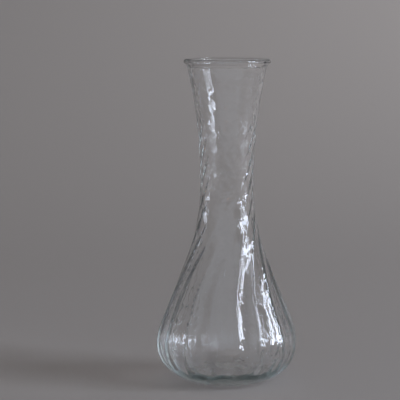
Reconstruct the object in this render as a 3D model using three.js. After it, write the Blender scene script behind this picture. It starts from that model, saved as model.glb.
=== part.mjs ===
// Swirl-fluted glass bud vase, one piece of soda-lime glass blown in a mould. Millimetres, +Z up.
// The origin is the centre of the foot, on the surface that the vase stands on. A ridge faces -Y.
import * as THREE from "three";

// Overall shape, outside.
const HEIGHT = 228; // foot to the top of the rim bead
const FOOT_RADIUS = 21; // outer edge of the flat ring that the vase stands on
const BELLY_RADIUS = 50; // over the ridges, at the widest place
const BELLY_HEIGHT = 28;
const SHOULDER_INSET = 3.9; // how far inside the belly the straight cone starts
const SHOULDER_HEIGHT = 44;
const THROAT_FLARE = 9.9; // how far outside the neck the straight cone ends
const THROAT_HEIGHT = 86.5;
const NECK_RADIUS = 19; // over the ridges, at the narrowest place
const NECK_HEIGHT = 139;
const MOUTH_RADIUS = 28.4; // outside of the wall, just under the rim bead
const MOUTH_SLOPE = 0.225; // how fast the mouth still opens there, radius over height

// Rim bead, the fire-polished lip: round outside, and rolled over more slowly into the mouth.
const BEAD_RADIUS = 1.95;
const BEAD_OVERHANG = 2.2; // how far the bead stands out past the wall under it
const LIP_DROP = 2; // how far under the bead's top the inside of the mouth begins

// Glass thickness.
const WALL = 3; // along the ridges
const MOUTH_WALL = 2.5; // the wall is drawn out to this above the neck
const FLOOR = 6; // at the middle of the base, over the push-up
const HEEL_EXTRA = 1.6; // extra glass in the heel, where the wall turns into the base
const FLOOR_CORNER = 4; // height over which the flat floor inside turns up into the wall

// Push-up, the shallow hollow under the base that leaves a ring to stand on.
const PUSH_UP_RADIUS = 15.5;
const PUSH_UP_DEPTH = 1.6;

// Flutes: broad hollows with a ridge between each two, straight on the belly and swirled above.
const FLUTE_COUNT = 16;
const BELLY_FLUTE_DEPTH = 2.5; // ridge top to the middle of a flute
const NECK_FLUTE_DEPTH = 0.25;
const INSIDE_SHARE = 0.6; // how much of the flutes' depth shows on the inside of the glass
const FLUTE_START = 2.5; // the flutes grow out of the heel between these two heights
const FLUTE_FULL = 14;
const PLAIN_MOUTH = 39; // height of the plain glass above the flutes, bead included
const FLUTE_FADE = 7; // the flutes die out over this height, under the plain glass
const SWIRL_START = 56; // where the ridges start to lean over
const SWIRL_FULL = 120; // where they reach their full lean
const SWIRL_TURN = 146; // degrees that a ridge turns from the belly to the mouth

// How finely the round shape is cut into flat facets.
const COLUMNS_PER_FLUTE = 4;
const RING_STEPS = { heel: 6, belly: 3, cone: 6, throat: 8, mouth: 11, bead: 4, lip: 4 };
const CORNER_STEPS = 4;

const FLUTE_TOP = HEIGHT - PLAIN_MOUTH;
const BEAD_HEIGHT = HEIGHT - BEAD_RADIUS;
const BEAD_CENTRE = MOUTH_RADIUS + BEAD_OVERHANG - BEAD_RADIUS;
const COLUMNS = FLUTE_COUNT * COLUMNS_PER_FLUTE;

const point = (radius, height) => new THREE.Vector2(radius, height);

// 0 below low, 1 above high, and a smooth climb between them.
const ramp = (value, low, high) => THREE.MathUtils.smoothstep(value, low, high);

// The outside of the wall over the ridges, foot to bead, as a list of curves.
function outsideCurves() {
  const foot = point(FOOT_RADIUS, 0);
  const belly = point(BELLY_RADIUS, BELLY_HEIGHT);
  const shoulder = point(BELLY_RADIUS - SHOULDER_INSET, SHOULDER_HEIGHT);
  const throat = point(NECK_RADIUS + THROAT_FLARE, THROAT_HEIGHT);
  const neck = point(NECK_RADIUS, NECK_HEIGHT);
  const mouth = point(MOUTH_RADIUS, BEAD_HEIGHT - BEAD_RADIUS);

  // Where the cone's straight side would meet a plain vertical wall of this radius.
  const coneAt = (radius) => {
    const along = (radius - shoulder.x) / (throat.x - shoulder.x);
    return point(radius, THREE.MathUtils.lerp(shoulder.y, throat.y, along));
  };
  const heelRise = 0.66 * belly.y;
  const heelReach = 0.38 * (belly.x - foot.x);
  const opening = 0.37 * (mouth.y - neck.y);
  return [
    [
      new THREE.CubicBezierCurve(
        foot,
        point(foot.x + heelReach, 0),
        point(belly.x, belly.y - heelRise),
        belly,
      ),
      RING_STEPS.heel,
    ],
    [new THREE.QuadraticBezierCurve(belly, coneAt(belly.x), shoulder), RING_STEPS.belly],
    [new THREE.LineCurve(shoulder, throat), RING_STEPS.cone],
    [new THREE.QuadraticBezierCurve(throat, coneAt(neck.x), neck), RING_STEPS.throat],
    [
      new THREE.CubicBezierCurve(
        neck,
        point(neck.x, neck.y + opening),
        point(mouth.x - MOUTH_SLOPE * opening, mouth.y - opening),
        mouth,
      ),
      RING_STEPS.mouth,
    ],
  ];
}

// Points along the curves, each with the direction that faces out of the glass.
function pointsOf(curves) {
  const found = [];
  curves.forEach(([curve, steps], index) => {
    for (let i = index ? 1 : 0; i <= steps; i++) {
      const tangent = curve.getTangent(i / steps);
      found.push({ at: curve.getPoint(i / steps), out: point(tangent.y, -tangent.x) });
    }
  });
  return found;
}

// The rim bead, from the outside of the wall to its top, then over the lip to the inside of the mouth.
function beadPoints(mouth) {
  const found = [];
  for (let i = 0; i < RING_STEPS.bead; i++) {
    const angle = THREE.MathUtils.lerp(-Math.PI / 6, Math.PI / 2, i / RING_STEPS.bead);
    found.push(
      point(
        BEAD_CENTRE + BEAD_RADIUS * Math.cos(angle),
        BEAD_HEIGHT + BEAD_RADIUS * Math.sin(angle),
      ),
    );
  }
  const top = point(BEAD_CENTRE, HEIGHT);
  const lip = new THREE.QuadraticBezierCurve(top, point(mouth.x, HEIGHT), mouth);
  return [...found, ...lip.getPoints(RING_STEPS.lip).slice(0, -1)];
}

// The thickness of the glass at this height: more in the heel, less in the mouth.
function wallAt(height) {
  const heel = HEEL_EXTRA * (1 - ramp(height, 0, BELLY_HEIGHT));
  return heel + THREE.MathUtils.lerp(WALL, MOUTH_WALL, ramp(height, NECK_HEIGHT, HEIGHT));
}

// The inside, from the mouth down to the floor: the outside moved in by the thickness of the glass.
function insidePoints(outside) {
  const floor = FLOOR + PUSH_UP_DEPTH;
  const wall = outside
    .map(({ at, out }) => at.clone().addScaledVector(out, -wallAt(at.y)))
    .filter(({ y }) => y > floor + FLOOR_CORNER && y < HEIGHT - LIP_DROP);
  const lowest = wall[0];
  const corner = new THREE.QuadraticBezierCurve(
    point(FOOT_RADIUS, floor),
    point(lowest.x - FLOOR_CORNER, floor),
    lowest,
  );
  return [...corner.getPoints(CORNER_STEPS).slice(0, -1), ...wall].reverse();
}

// The whole section of the glass, starting and ending on the axis. Each of its points has the share
// of the flutes' depth that is pressed into it: all outside, none on the bead and base, and part of it
// inside, where the flutes come in gently above the flat floor.
function section() {
  const outside = pointsOf(outsideCurves());
  const pushUp = new THREE.QuadraticBezierCurve(
    point(0, PUSH_UP_DEPTH),
    point(0.7 * PUSH_UP_RADIUS, PUSH_UP_DEPTH),
    point(PUSH_UP_RADIUS, 0),
  );
  const inside = insidePoints(outside);
  const floor = FLOOR + PUSH_UP_DEPTH;
  return [
    ...pushUp.getPoints(CORNER_STEPS).map((at) => ({ at, share: 0 })),
    ...outside.map(({ at }) => ({ at, share: 1 })),
    ...beadPoints(inside[0]).map((at) => ({ at, share: 0 })),
    ...inside.map((at) => ({ at, share: INSIDE_SHARE * ramp(at.y, floor, BELLY_HEIGHT) })),
    { at: point(0, floor), share: 0 },
  ];
}

// Degrees that the ridges have turned at this height: none on the belly, then ever faster, then steady.
function swirlAt(height) {
  const leaning = SWIRL_FULL - SWIRL_START;
  const rate = SWIRL_TURN / (leaning / 2 + FLUTE_TOP - SWIRL_FULL);
  const up = THREE.MathUtils.clamp(height, SWIRL_START, FLUTE_TOP) - SWIRL_START;
  return up < leaning ? (rate * up * up) / (2 * leaning) : rate * (up - leaning / 2);
}

function fluteDepthAt(height) {
  const depth = THREE.MathUtils.lerp(
    BELLY_FLUTE_DEPTH,
    NECK_FLUTE_DEPTH,
    ramp(height, SHOULDER_HEIGHT, SWIRL_FULL),
  );
  const grown = ramp(height, FLUTE_START, FLUTE_FULL);
  return depth * grown * (1 - ramp(height, FLUTE_TOP - FLUTE_FADE, FLUTE_TOP));
}

// How far below the ridges the glass lies, across one flute: 0 at its edges and 1 in its middle.
function hollowAcross(column) {
  const across = (2 * (column % COLUMNS_PER_FLUTE)) / COLUMNS_PER_FLUTE - 1;
  return 1 - across * across;
}

// Turns the section about the axis, then presses the flutes in and swirls them.
function vaseGeometry() {
  const rings = section();
  const geometry = new THREE.LatheGeometry(rings.map(({ at }) => at), COLUMNS);
  const position = geometry.getAttribute("position");
  for (let i = 0; i < position.count; i++) {
    const column = Math.floor(i / rings.length);
    const { at, share } = rings[i % rings.length];
    const radius = at.x - share * fluteDepthAt(at.y) * hollowAcross(column);
    const turn = (column / COLUMNS) * 2 * Math.PI + THREE.MathUtils.degToRad(swirlAt(at.y));
    position.setXYZ(i, radius * Math.sin(turn), at.y, radius * Math.cos(turn));
  }
  geometry.rotateX(Math.PI / 2);
  geometry.computeVertexNormals();
  return geometry;
}

const clearGlass = new THREE.MeshStandardMaterial({
  name: "clear_glass",
  color: 0xdfe9e6,
  roughness: 0.04,
  metalness: 0,
  transparent: true,
  opacity: 0.35,
});

const vase = new THREE.Mesh(vaseGeometry(), clearGlass);
vase.name = "vase_body";

const group = new THREE.Group();
group.add(vase);

export default group;
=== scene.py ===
import math

import bmesh
import bpy
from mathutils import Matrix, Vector


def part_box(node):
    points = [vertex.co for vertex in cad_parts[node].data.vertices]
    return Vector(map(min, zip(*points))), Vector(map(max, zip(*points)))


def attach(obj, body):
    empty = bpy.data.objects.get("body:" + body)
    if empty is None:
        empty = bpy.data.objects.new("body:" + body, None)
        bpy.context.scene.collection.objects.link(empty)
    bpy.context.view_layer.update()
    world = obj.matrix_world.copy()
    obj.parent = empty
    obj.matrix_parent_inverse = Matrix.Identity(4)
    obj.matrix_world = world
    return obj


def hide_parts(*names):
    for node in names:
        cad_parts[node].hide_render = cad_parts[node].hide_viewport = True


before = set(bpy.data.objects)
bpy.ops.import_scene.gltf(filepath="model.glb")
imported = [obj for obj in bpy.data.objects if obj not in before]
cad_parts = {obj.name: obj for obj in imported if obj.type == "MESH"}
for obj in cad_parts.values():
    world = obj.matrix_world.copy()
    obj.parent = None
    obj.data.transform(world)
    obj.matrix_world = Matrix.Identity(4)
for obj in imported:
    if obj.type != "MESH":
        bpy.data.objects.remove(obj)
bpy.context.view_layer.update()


# --- Camera -------------------------------------------------------------------
# A long lens, a little above the rim, looking slightly down on the vase. It stands a few degrees to the
# left of the ridge that faces -Y, and aims left of the vase and a little above its half height.

CAMERA_TURN = math.radians(-8.3)  # round the vase from -Y, towards -X
CAMERA_DISTANCE = 1.30
CAMERA_HEIGHT = 0.275
CAMERA_LENS = 167.0  # mm
SENSOR_WIDTH = 36.0  # mm
NEAREST_SEEN, FARTHEST_SEEN = 0.05, 60.0
AIM_LEFT = 0.0190  # how far the aim passes left of the vase's axis
AIM_HEIGHT = 0.1286

toward_camera = Vector((math.sin(CAMERA_TURN), -math.cos(CAMERA_TURN), 0.0))
camera_right = Vector((math.cos(CAMERA_TURN), math.sin(CAMERA_TURN), 0.0))

camera_data = bpy.data.cameras.new("long_lens")
camera_data.lens = CAMERA_LENS
camera_data.sensor_width = SENSOR_WIDTH
camera_data.clip_start, camera_data.clip_end = NEAREST_SEEN, FARTHEST_SEEN
camera = bpy.data.objects.new("long_lens", camera_data)
bpy.context.scene.collection.objects.link(camera)
camera.location = toward_camera * CAMERA_DISTANCE + Vector((0.0, 0.0, CAMERA_HEIGHT))
aim = camera_right * -AIM_LEFT + Vector((0.0, 0.0, AIM_HEIGHT))
camera.rotation_mode = "QUATERNION"
camera.rotation_quaternion = (aim - camera.location).to_track_quat("-Z", "Y")
bpy.context.scene.camera = camera


# --- Vase ---------------------------------------------------------------------
# One gather of soda-lime glass, blown into a fluted mould and twisted while hot above the belly.
# The base and heel stay thick, the mouth is flared plain, and the cut rim is melted to a round bead.

MM = 0.001  # in metres
vase_low, vase_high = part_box("vase_body")
HEIGHT = vase_high[2] - vase_low[2]

FOOT_RADIUS = 21 * MM
BELLY_RADIUS = (vase_high[0] - vase_low[0]) / 2
BELLY_HEIGHT = 28 * MM
SHOULDER_RADIUS = BELLY_RADIUS - 3.9 * MM
SHOULDER_HEIGHT = 44 * MM
NECK_RADIUS = 19 * MM
NECK_HEIGHT = 139 * MM
THROAT_RADIUS = NECK_RADIUS + 9.9 * MM
THROAT_HEIGHT = 86.5 * MM
MOUTH_RADIUS = 28.4 * MM
MOUTH_SLOPE = 0.225  # how fast the mouth still opens under the bead, radius over height
MOUTH_REACH = 0.37  # how far the neck and the mouth each hold their direction, of the way between them
HEEL_REACH = 0.38  # the same for the foot, outward to the belly
HEEL_DROP = 0.34  # share of the belly's height down to which the belly holds its direction

BEAD_RADIUS = 1.95 * MM
BEAD_OVERHANG = 2.2 * MM
BEAD_HEIGHT = HEIGHT - BEAD_RADIUS
BEAD_CENTRE = MOUTH_RADIUS + BEAD_OVERHANG - BEAD_RADIUS
LIP_DROP = 2 * MM  # under the bead's top, where the inside of the mouth begins
BEAD_ANGLES = range(-30, 90, 15)  # degrees, from under the bead's widest part to its top

WALL = 3 * MM
MOUTH_WALL = 2.5 * MM
FLOOR_THICKNESS = 6 * MM
HEEL_EXTRA = 1.6 * MM
FLOOR_CORNER = 4 * MM  # height over which the flat floor turns up into the wall
PUSH_UP_RADIUS = 15.5 * MM
PUSH_UP_DEPTH = 1.6 * MM
PUSH_UP_FLAT = 0.7  # share of its radius over which it stays level
FLOOR_HEIGHT = FLOOR_THICKNESS + PUSH_UP_DEPTH
FLOOR_RINGS = (0.7, 0.4, 0.15)  # rings across the flat floor, as shares of the foot's radius

FLUTES = 16
COLUMNS_PER_FLUTE = 8
COLUMNS = FLUTES * COLUMNS_PER_FLUTE
BELLY_FLUTE_DEPTH = 2.5 * MM
NECK_FLUTE_DEPTH = 0.25 * MM
INSIDE_SHARE = 0.6  # the inside follows the flutes less deeply
CREST_SHARE = 0.16  # smoothing takes this share of the flutes' depth off the ridges
FLUTE_START, FLUTE_FULL = 2.5 * MM, 14 * MM
PLAIN_MOUTH = 39 * MM
FLUTE_TOP = HEIGHT - PLAIN_MOUTH
FLUTE_FADE = 7 * MM
SWIRL_START, SWIRL_FULL = 56 * MM, 120 * MM
SWIRL_TURN = math.radians(146)

# Rings along each stretch of the section.
HEEL_RINGS, BELLY_RINGS, CONE_RINGS, THROAT_RINGS, MOUTH_RINGS = 16, 6, 14, 18, 28
CORNER_RINGS, PUSH_UP_RINGS, LIP_RINGS = 8, 8, 6


def curve(points, steps):
    """Points along a Bezier curve, each with the direction that it runs in."""
    found = []
    for i in range(steps + 1):
        t = i / steps
        level, before = [Vector(p) for p in points], None
        while len(level) > 1:
            before = level
            level = [a.lerp(b, t) for a, b in zip(level, level[1:])]
        found.append((level[0], (before[1] - before[0]).normalized()))
    return found


def ramp(value, low, high):
    """0 below low, 1 above high, and a smooth climb between them."""
    t = min(max((value - low) / (high - low), 0.0), 1.0)
    return t * t * (3 - 2 * t)


def swirl_at(height):
    """How far the ridges have turned: none on the belly, then ever faster, then steadily."""
    leaning = SWIRL_FULL - SWIRL_START
    rate = SWIRL_TURN / (leaning / 2 + FLUTE_TOP - SWIRL_FULL)
    up = min(max(height, SWIRL_START), FLUTE_TOP) - SWIRL_START
    return rate * up * up / (2 * leaning) if up < leaning else rate * (up - leaning / 2)


def flute_depth_at(height):
    """Ridge top to the middle of a flute."""
    blend = ramp(height, SHOULDER_HEIGHT, SWIRL_FULL)
    depth = BELLY_FLUTE_DEPTH + (NECK_FLUTE_DEPTH - BELLY_FLUTE_DEPTH) * blend
    grown = ramp(height, FLUTE_START, FLUTE_FULL)
    return depth * grown * (1 - ramp(height, FLUTE_TOP - FLUTE_FADE, FLUTE_TOP))


def wall_at(height):
    """Thickness of the glass: more in the heel, less in the mouth."""
    heel = HEEL_EXTRA * (1 - ramp(height, 0, BELLY_HEIGHT))
    return heel + WALL + (MOUTH_WALL - WALL) * ramp(height, NECK_HEIGHT, HEIGHT)


def cone_at(radius):
    """Where the cone's straight side, drawn on, has this radius."""
    along = (radius - SHOULDER_RADIUS) / (THROAT_RADIUS - SHOULDER_RADIUS)
    return radius, SHOULDER_HEIGHT + (THROAT_HEIGHT - SHOULDER_HEIGHT) * along


mouth = (MOUTH_RADIUS, BEAD_HEIGHT - BEAD_RADIUS)
opening = MOUTH_REACH * (mouth[1] - NECK_HEIGHT)
foot = (FOOT_RADIUS, 0)
belly = (BELLY_RADIUS, BELLY_HEIGHT)
shoulder = (SHOULDER_RADIUS, SHOULDER_HEIGHT)
throat = (THROAT_RADIUS, THROAT_HEIGHT)
neck = (NECK_RADIUS, NECK_HEIGHT)
heel_out = (FOOT_RADIUS + HEEL_REACH * (BELLY_RADIUS - FOOT_RADIUS), 0)
heel_up = (BELLY_RADIUS, HEEL_DROP * BELLY_HEIGHT)
neck_up = (NECK_RADIUS, NECK_HEIGHT + opening)
mouth_down = (mouth[0] - MOUTH_SLOPE * opening, mouth[1] - opening)
outside = [
    *curve([foot, heel_out, heel_up, belly], HEEL_RINGS),
    *curve([belly, cone_at(BELLY_RADIUS), shoulder], BELLY_RINGS)[1:],
    *curve([shoulder, throat], CONE_RINGS)[1:],
    *curve([throat, cone_at(NECK_RADIUS), neck], THROAT_RINGS)[1:],
    *curve([neck, neck_up, mouth_down, mouth], MOUTH_RINGS)[1:],
]

# The inside: every second point of the outside, moved in by the thickness of the glass.
inside = [at - Vector((run.y, -run.x)) * wall_at(at.y) for at, run in outside[::2]]
inside = [at for at in inside if FLOOR_HEIGHT + FLOOR_CORNER < at.y < HEIGHT - LIP_DROP]
lowest, highest = inside[0], inside[-1]
corner_out = (lowest.x - FLOOR_CORNER, FLOOR_HEIGHT)
corner = curve([(FOOT_RADIUS, FLOOR_HEIGHT), corner_out, tuple(lowest)], CORNER_RINGS)
push_up_flat = (PUSH_UP_FLAT * PUSH_UP_RADIUS, PUSH_UP_DEPTH)
push_up = curve([(0, PUSH_UP_DEPTH), push_up_flat, (PUSH_UP_RADIUS, 0)], PUSH_UP_RINGS)
bead = [
    Vector((BEAD_CENTRE + BEAD_RADIUS * math.cos(a), BEAD_HEIGHT + BEAD_RADIUS * math.sin(a)))
    for a in map(math.radians, BEAD_ANGLES)
]
lip = curve([(BEAD_CENTRE, HEIGHT), (highest.x, HEIGHT), tuple(highest)], LIP_RINGS)

# Every ring of the skin, from the middle of the underside, up the outside and down the inside:
# its radius over the ridges, its height, and how deep the flutes are pressed into it.
rings = [(at.x, at.y, 0.0) for at, _ in push_up[1:]]
for at, _ in outside:
    depth = flute_depth_at(at.y)
    rings.append((at.x + CREST_SHARE * depth, at.y, depth))
rings += [(at.x, at.y, 0.0) for at in bead]
rings += [(at.x, at.y, 0.0) for at, _ in lip[:-1]]
for at in reversed(inside):
    share = INSIDE_SHARE * ramp(at.y, FLOOR_HEIGHT, BELLY_HEIGHT)
    rings.append((at.x, at.y, share * flute_depth_at(at.y)))
rings += [(at.x, at.y, 0.0) for at, _ in reversed(corner[:-1])]
rings += [(FOOT_RADIUS * share, FLOOR_HEIGHT, 0.0) for share in FLOOR_RINGS]


def select_edges(piece, wanted):
    """Selects only those edges of a piece in edit mode that pass the test."""
    mesh = bmesh.from_edit_mesh(piece.data)
    for part in (*mesh.verts, *mesh.edges, *mesh.faces):
        part.select = False
    for edge in mesh.edges:
        if wanted(edge):
            edge.select_set(True)
    mesh.select_flush_mode()
    bmesh.update_edit_mesh(piece.data)


bpy.ops.object.select_all(action="DESELECT")
bpy.ops.mesh.primitive_circle_add(
    vertices=COLUMNS, radius=rings[0][0], fill_type="TRIFAN", location=(0, 0, rings[0][1])
)
vase = bpy.context.object
vase.name = vase.data.name = "vase_glass"
bpy.ops.object.transform_apply(location=True)
bpy.ops.object.mode_set(mode="EDIT")
bpy.ops.mesh.select_mode(type="VERT")
select_edges(vase, lambda edge: edge.is_boundary)

# Each ring is drawn out of the one before, sized column by column, and turned with the swirl.
for (r0, z0, depth0), (r1, z1, depth1) in zip(rings, rings[1:]):
    bpy.ops.mesh.extrude_region_move(TRANSFORM_OT_translate={"value": (0, 0, z1 - z0)})
    mesh = bmesh.from_edit_mesh(vase.data)
    loop = [v for v in mesh.verts if v.select]
    across = {}  # the new ring's points, by how hollow a flute is there: 0 on a ridge, 1 midway
    for v in loop:
        column = round((math.atan2(v.co.x, -v.co.y) - swirl_at(z0)) / (2 * math.pi) * COLUMNS)
        share = 2 * (column % COLUMNS_PER_FLUTE) / COLUMNS_PER_FLUTE - 1
        across.setdefault(1 - share * share, []).append(v.index)
    for hollow, group in sorted(across.items()):
        size = (r1 - depth1 * hollow) / (r0 - depth0 * hollow)
        mesh = bmesh.from_edit_mesh(vase.data)
        mesh.verts.ensure_lookup_table()
        for v in loop:
            v.select_set(False)
        for i in group:
            mesh.verts[i].select_set(True)
        bpy.ops.transform.resize(value=(size, size, 1), center_override=(0, 0, z1))
    for v in loop:
        v.select_set(True)
    mesh.select_flush_mode()
    turn = swirl_at(z1) - swirl_at(z0)
    if turn:
        bpy.ops.transform.rotate(value=-turn, orient_axis="Z", center_override=(0, 0, 0))
bpy.ops.mesh.extrude_region_move()
bpy.ops.mesh.merge(type="CENTER")
bpy.ops.mesh.select_all(action="SELECT")
bpy.ops.mesh.normals_make_consistent(inside=False)
bpy.ops.object.mode_set(mode="OBJECT")
bpy.ops.object.shade_smooth()

finer = vase.modifiers.new("finer", "SUBSURF")
finer.levels = finer.render_levels = 1
bpy.ops.object.modifier_apply(modifier=finer.name)


def linear(colour):
    """The linear colour of an sRGB hex value."""
    parts = [int(colour[i : i + 2], 16) / 255 for i in (1, 3, 5)]
    return [*(c / 12.92 if c <= 0.04045 else ((c + 0.055) / 1.055) ** 2.4 for c in parts), 1.0]


def node(tree, kind, **links):
    """Adds a node, and links or sets its sockets by name, or by number as i1 or i2."""
    made = tree.nodes.new(kind)
    for name, value in links.items():
        key = int(name[1:]) if name[1:].isdigit() else name.replace("_", " ")
        socket = made.inputs[key]
        if isinstance(value, bpy.types.NodeSocket):
            tree.links.new(value, socket)
        else:
            socket.default_value = value
    return made


# Soda-lime glass, fire-polished: clear, with a cast of sea green where the light runs far through it,
# and two soft unevennesses of blown glass that break up its reflections. For shadow rays it is a plain
# pale pane, so that it throws a soft grey shadow.
WAVES_PER_METRE = 70.0  # about 14 mm across
WAVE_STRENGTH = 0.5
RIPPLES_PER_METRE = 230.0  # about 4 mm across
RIPPLE_STRENGTH = 0.32
BUMP_HEIGHT = 1 * MM
GLASS_IOR = 1.52
GLASS_DENSITY = 12.0  # how fast the glass takes up its colour, per metre

soda_lime = bpy.data.materials.new("soda_lime_glass")
soda_lime.use_nodes = True
tree = soda_lime.node_tree
tree.nodes.clear()
place = node(tree, "ShaderNodeTexCoord").outputs["Object"]
waves = node(tree, "ShaderNodeTexNoise", Vector=place, Scale=WAVES_PER_METRE, Detail=1.0)
wavy = node(
    tree,
    "ShaderNodeBump",
    Height=waves.outputs["Fac"],
    Strength=WAVE_STRENGTH,
    Distance=BUMP_HEIGHT,
)
ripples = node(tree, "ShaderNodeTexNoise", Vector=place, Scale=RIPPLES_PER_METRE, Detail=1.0)
bump = node(
    tree,
    "ShaderNodeBump",
    Height=ripples.outputs["Fac"],
    Strength=RIPPLE_STRENGTH,
    Distance=BUMP_HEIGHT,
    Normal=wavy.outputs["Normal"],
)
glass = node(
    tree,
    "ShaderNodeBsdfPrincipled",
    Base_Color=linear("#ffffff"),
    Roughness=0.0,
    IOR=GLASS_IOR,
    Transmission_Weight=1.0,
    Normal=bump.outputs["Normal"],
)
tint = node(tree, "ShaderNodeVolumeAbsorption", Color=linear("#b4c5c4"), Density=GLASS_DENSITY)
ray = node(tree, "ShaderNodeLightPath")
through = node(tree, "ShaderNodeBsdfTransparent", Color=linear("#cac8c7"))
body = node(
    tree,
    "ShaderNodeMixShader",
    Fac=ray.outputs["Is Shadow Ray"],
    i1=glass.outputs["BSDF"],
    i2=through.outputs["BSDF"],
)
node(
    tree, "ShaderNodeOutputMaterial", Surface=body.outputs["Shader"], Volume=tint.outputs["Volume"]
)
vase.data.materials.append(soda_lime)
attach(vase, "root")
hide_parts("vase_body")


# --- Floor and backdrop -------------------------------------------------------
# A sheet of pale grey paper under the vase. It turns up into a wall far behind it, and again far out
# on either side, with no crease anywhere.

SWEEP_FRONT = 6.0
SWEEP_BACK = 0.6  # where the paper starts to turn up
SWEEP_SIDE = 2.4
BACK_CURVE = 2.7
SIDE_CURVE = 3.2
BACK_WALL = 4.0
SIDE_WALL = 0.3
CURVE_STEPS = 24
FOOT_CLEARANCE = 0.3 * MM  # keeps the paper's face and the foot's from lying in each other
EDGE_SLACK = 0.01

bpy.ops.object.select_all(action="DESELECT")
bpy.ops.mesh.primitive_plane_add(size=1, location=(0, 0, -FOOT_CLEARANCE))
sweep = bpy.context.object
sweep.name = sweep.data.name = "paper_sweep"
bpy.ops.object.mode_set(mode="EDIT")
size = (2 * SWEEP_SIDE, SWEEP_FRONT + SWEEP_BACK, 1)
bpy.ops.transform.resize(value=size, center_override=(0, 0, 0))
bpy.ops.transform.translate(value=(0, (SWEEP_BACK - SWEEP_FRONT) / 2, 0))


def turn_up(outward, reach, radius, wall):
    """Draws the paper's edge that lies reach outward on in a quarter circle, and then straight up."""
    select_edges(sweep, lambda edge: all(v.co.dot(outward) > reach - EDGE_SLACK for v in edge.verts))
    for i in range(CURVE_STEPS):
        a, b = (math.pi / 2 * k / CURVE_STEPS for k in (i, i + 1))
        out = radius * (math.sin(b) - math.sin(a))
        up = radius * (math.cos(a) - math.cos(b))
        step = outward * out + Vector((0, 0, up))
        bpy.ops.mesh.extrude_region_move(TRANSFORM_OT_translate={"value": step})
    bpy.ops.mesh.extrude_region_move(TRANSFORM_OT_translate={"value": (0, 0, wall)})


turn_up(Vector((0, 1, 0)), SWEEP_BACK, BACK_CURVE, BACK_WALL)
turn_up(Vector((-1, 0, 0)), SWEEP_SIDE, SIDE_CURVE, SIDE_WALL)
turn_up(Vector((1, 0, 0)), SWEEP_SIDE, SIDE_CURVE, SIDE_WALL)
bpy.ops.mesh.select_all(action="SELECT")
bpy.ops.mesh.normals_make_consistent(inside=False)
bpy.ops.transform.rotate(value=-CAMERA_TURN, orient_axis="Z", center_override=(0, 0, 0))
bpy.ops.object.mode_set(mode="OBJECT")
bpy.ops.object.shade_smooth()

paper = bpy.data.materials.new("matt_grey_paper")
paper.use_nodes = True
surface = paper.node_tree.nodes["Principled BSDF"]
surface.inputs["Base Color"].default_value = linear("#99938d")
surface.inputs["Roughness"].default_value = 0.9
surface.inputs["Specular IOR Level"].default_value = 0.2
sweep.data.materials.append(paper)


# --- Shade cards --------------------------------------------------------------
# Two dark cards stand far behind the vase, left and right of what the camera sees. Only rays that the
# glass bends strongly reach them, so they draw its edges and ridges as thin dark lines.

CARD_HEIGHT = 0.9
CARD_THICKNESS = 0.01
CARD_DISTANCE = 2.2

dark_card = bpy.data.materials.new("matt_dark_card")
dark_card.use_nodes = True
card_surface = dark_card.node_tree.nodes["Principled BSDF"]
card_surface.inputs["Base Color"].default_value = linear("#48484b")
card_surface.inputs["Roughness"].default_value = 0.9

for side, turn, width in (("left", -129, 1.2), ("right", 132, 1.0)):  # degrees, metres
    bpy.ops.object.select_all(action="DESELECT")
    bpy.ops.mesh.primitive_cube_add(size=1, location=(0, 0, 0))
    card = bpy.context.object
    card.name = card.data.name = "shade_card_" + side
    bpy.ops.object.mode_set(mode="EDIT")
    bpy.ops.transform.resize(value=(width, CARD_THICKNESS, CARD_HEIGHT), center_override=(0, 0, 0))
    bpy.ops.transform.translate(value=(0, -CARD_DISTANCE, CARD_HEIGHT / 2))
    bpy.ops.transform.rotate(
        value=-CAMERA_TURN - math.radians(turn), orient_axis="Z", center_override=(0, 0, 0)
    )
    bpy.ops.object.mode_set(mode="OBJECT")
    card.data.materials.append(dark_card)


# --- Light --------------------------------------------------------------------
# A tall window of two pairs of panes stands to the right, with a low pane under it and a small one to
# the left. Weaker softboxes light the room, the backdrop and the side walls, and a lamp glows in front.


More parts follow.
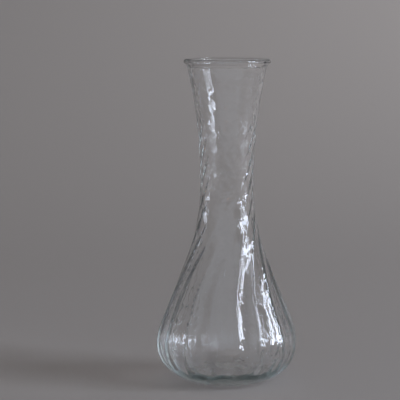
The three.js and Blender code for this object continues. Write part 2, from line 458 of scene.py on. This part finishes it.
def softbox(name, turn, lift, distance, width, height, radiance, colour, aim=(0, 0, HEIGHT / 2)):
    """An area light that faces aim. It is turned right of the camera and lifted, in degrees, and radiance
    says how bright its face is. Aim is right, to the front and up, as the camera sees it.
    """
    data = bpy.data.lights.new(name, "AREA")
    data.shape = "RECTANGLE"
    data.size, data.size_y = width, height
    data.energy = radiance * math.pi * width * height
    data.color = linear(colour)[:3]
    light = bpy.data.objects.new(name, data)
    bpy.context.scene.collection.objects.link(light)
    turn, lift = math.radians(turn), math.radians(lift)
    flat = toward_camera * math.cos(turn) + camera_right * math.sin(turn)
    light.location = distance * (flat * math.cos(lift) + Vector((0, 0, math.sin(lift))))
    right, front, up = aim
    target = camera_right * right + toward_camera * front + Vector((0, 0, up))
    light.rotation_mode = "QUATERNION"
    light.rotation_quaternion = (target - light.location).to_track_quat("-Z", "Y")


# Each has its turn and lift, then its distance, width and height in metres, its radiance and its colour.
for number, turn in enumerate((61.5, 66.0, 79.0, 83.5)):  # the gap in the middle splits highlights
    softbox(f"window_pane_{number}", turn, 22, 2.6, 0.12, 1.9, 24.0, "#e4edff")
softbox("ceiling", 0, 90, 2.4, 2.4, 2.4, 0.26, "#ffe2cb")
softbox("left_window", -98, 5, 3.0, 0.6, 0.4, 5.0, "#e4edff")
softbox("window_low_pane", 72, 12, 2.6, 0.85, 0.36, 8.0, "#e4edff")
softbox("backdrop_light", 140, 35, 2.4, 1.4, 1.0, 3.8, "#f4f6ff", aim=(-0.1, -3.2, 0.5))
softbox("left_wall_light", -100, 60, 2.6, 2.2, 1.0, 8.0, "#f4f6ff", aim=(-4.8, 0.0, 0.7))
softbox("right_wall_light", 100, 60, 2.6, 2.2, 1.0, 8.0, "#f4f6ff", aim=(4.8, 0.0, 0.7))
softbox("room_front", -8, 22, 3.0, 6.0, 2.2, 0.40, "#e2eaf6")
softbox("lamp", 3, 6, 3.4, 0.06, 0.08, 120.0, "#ffa860")

room = bpy.data.worlds.new("dim_room")
bpy.context.scene.world = room
room.use_nodes = True
room.node_tree.nodes["Background"].inputs["Color"].default_value = linear("#b5bcc7")
room.node_tree.nodes["Background"].inputs["Strength"].default_value = 0.50

bpy.context.scene.view_settings.view_transform = "Standard"

# Light is reflected many times inside the thick base before it comes out.
LIGHT_BOUNCES = 32
paths = bpy.context.scene.cycles
paths.max_bounces = paths.glossy_bounces = paths.transmission_bounces = LIGHT_BOUNCES
